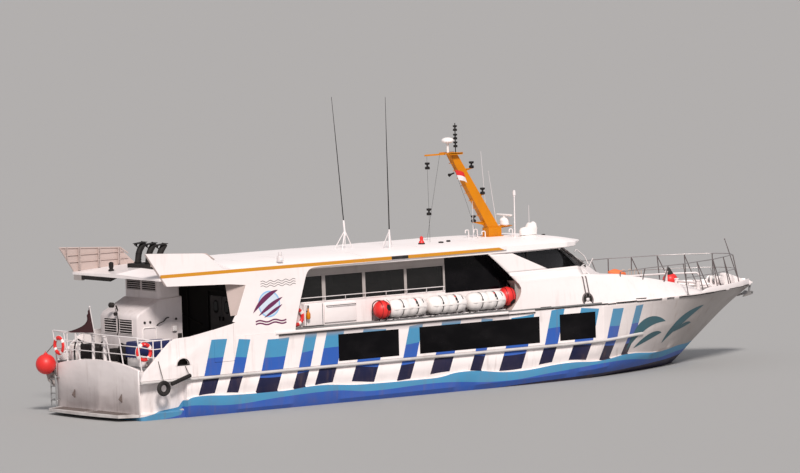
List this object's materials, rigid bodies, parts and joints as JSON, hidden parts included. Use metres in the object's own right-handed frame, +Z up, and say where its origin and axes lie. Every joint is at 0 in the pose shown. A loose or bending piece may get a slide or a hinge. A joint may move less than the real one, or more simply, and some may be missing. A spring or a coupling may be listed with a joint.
{
  "type": "passenger ferry",
  "caption": "Fast harbour passenger ferry with a planing hull, two enclosed saloons, side decks, raised wheelhouse, aft boarding deck and a raked signal mast.",
  "frame": {"origin": "amidships on the centreline at the still waterline", "axes": "+X forward to the bow, +Y to port, +Z up"},
  "size_m": [32.14, 6.6508, 12.8711],
  "materials": {
    "hull_paint": "blue boot band and bottom paint, white above, slightly chalked",
    "white_paint": "satin marine white, slightly warm, with faint run marks",
    "inner_paint": "grey satin paint in the shade of the canopy",
    "deck_grey": "grey non-skid deck paint",
    "rail_grey": "pale grey worn paint",
    "dark_glass": "black glossy flush glass",
    "clear_glass": "clear tinted saloon glass",
    "raft_shell": "white moulded canister shell with straps",
    "black_rubber": "worn black rubber",
    "tyre_black": "old worn tyre",
    "dark_panel": "dark grey console",
    "seat_shell": "navy moulded seat shells",
    "machinery": "painted cast iron",
    "exhaust_black": "sooty matt black",
    "white_rail": "white painted tube, scuffed",
    "bare_rail": "stainless tube",
    "buoy_red": "inflated red buoy skin",
    "mast_orange": "orange gloss paint",
    "white_plastic": "white moulded cover",
    "galvanised": "dull galvanised steel",
    "flag_cloth": "dark maroon cloth",
    "bronze": "cast bronze"
  },
  "bodies": {
    "boat": {"hull": "hull_paint", "topside_stbd": "white_paint", "topside_port": "white_paint", "rub_rail_stbd": "rail_grey", "rub_rail_port": "rail_grey", "main_glass_stbd": "dark_glass", "main_glass_port": "dark_glass", "side_panel_stbd": "white_paint", "side_panel_port": "white_paint", "upper_wall_stbd": "white_paint", "upper_wall_port": "white_paint", "upper_glass_stbd": "clear_glass", "upper_glass_port": "clear_glass", "liferafts_stbd": "raft_shell", "liferafts_port": "raft_shell", "shaft_gear_stbd": "bronze", "shaft_gear_port": "bronze", "gunwale_strip": "black_rubber", "aft_deck": "deck_grey", "upper_deck": "deck_grey", "aft_bulkhead": "inner_paint", "roof": "white_paint", "aft_canopy": "white_paint", "forehouse": "white_paint", "wheelhouse": "white_paint", "wheelhouse_glass": "dark_glass", "helm": "dark_panel", "seats_lower": "seat_shell", "seats_upper": "seat_shell", "engines": "machinery", "exhaust_stacks": "exhaust_black", "vent_casing": "white_paint", "stern_platform": "white_paint", "transom_rail": "white_rail", "stern_ladder": "white_rail", "tyre_fender": "tyre_black", "roll_fender": "black_rubber", "ball_fender": "buoy_red", "mast": "mast_orange", "radome": "white_plastic", "aft_aerial": "white_rail", "side_aerial": "black_rubber", "light_pole": "white_rail", "searchlight": "white_plastic", "bow_rail": "bare_rail", "windlass": "white_plastic", "anchor": "galvanised", "jackstaff": "bare_rail", "ensign": "flag_cloth"},
    "door_stbd": {"aft_door_stbd": "inner_paint"},
    "door_port": {"aft_door_port": "inner_paint"},
    "gate_stbd": {"boarding_gate_stbd": "white_paint"},
    "gate_port": {"boarding_gate_port": "white_paint"},
    "deck_hatch": {"engine_hatch": "deck_grey"},
    "bow_hatch": {"foredeck_hatch": "white_paint"},
    "scanner": {"radar_scanner": "white_plastic"},
    "screw_stbd": {"propeller_stbd": "bronze"},
    "screw_port": {"propeller_port": "bronze"},
    "steer_stbd": {"rudder_stbd": "hull_paint"},
    "steer_port": {"rudder_port": "hull_paint"}
  },
  "joints": [
    {"name": "door_stbd_swing", "type": "hinge", "parent": "boat", "child": "door_stbd", "pos_m": [-9.85, -0.752, 3.1], "axis": [0, 0, 1], "range_deg": [0, 100]},
    {"name": "door_port_swing", "type": "hinge", "parent": "boat", "child": "door_port", "pos_m": [-9.85, 0.752, 3.1], "axis": [0, 0, -1], "range_deg": [0, 100]},
    {"name": "gate_stbd_swing", "type": "hinge", "parent": "boat", "child": "gate_stbd", "pos_m": [-11.45, -3.02, 2.6], "axis": [0, 0, -1], "range_deg": [0, 95]},
    {"name": "gate_port_swing", "type": "hinge", "parent": "boat", "child": "gate_port", "pos_m": [-11.45, 3.02, 2.6], "axis": [0, 0, 1], "range_deg": [0, 95]},
    {"name": "engine_hatch_lift", "type": "hinge", "parent": "boat", "child": "deck_hatch", "pos_m": [-11.29, 1.275, 1.98], "axis": [0, 1, 0], "range_deg": [0, 95]},
    {"name": "foredeck_hatch_lift", "type": "hinge", "parent": "boat", "child": "bow_hatch", "pos_m": [9.35, 0, 3.568], "axis": [0, 1, 0], "range_deg": [0, 85]},
    {"name": "radar_spin", "type": "hinge", "parent": "boat", "child": "scanner", "pos_m": [3.58, 0, 6.3], "axis": [0, 0, 1], "continuous": true},
    {"name": "propeller_stbd_spin", "type": "hinge", "parent": "boat", "child": "screw_stbd", "pos_m": [-13.33, -1.15, -1.054], "axis": [0.9932, 0, 0.116], "continuous": true},
    {"name": "propeller_port_spin", "type": "hinge", "parent": "boat", "child": "screw_port", "pos_m": [-13.33, 1.15, -1.054], "axis": [0.9932, 0, 0.116], "continuous": true},
    {"name": "rudder_stbd_turn", "type": "hinge", "parent": "boat", "child": "steer_stbd", "pos_m": [-14.7, -1.15, -0.6], "axis": [0, 0, 1], "range_deg": [-35, 35]},
    {"name": "rudder_port_turn", "type": "hinge", "parent": "boat", "child": "steer_port", "pos_m": [-14.7, 1.15, -0.6], "axis": [0, 0, 1], "range_deg": [-35, 35]}
  ],
  "couplings": [
    {"joint": "rudder_port_turn", "follows": "rudder_stbd_turn", "ratio": 1}
  ]
}
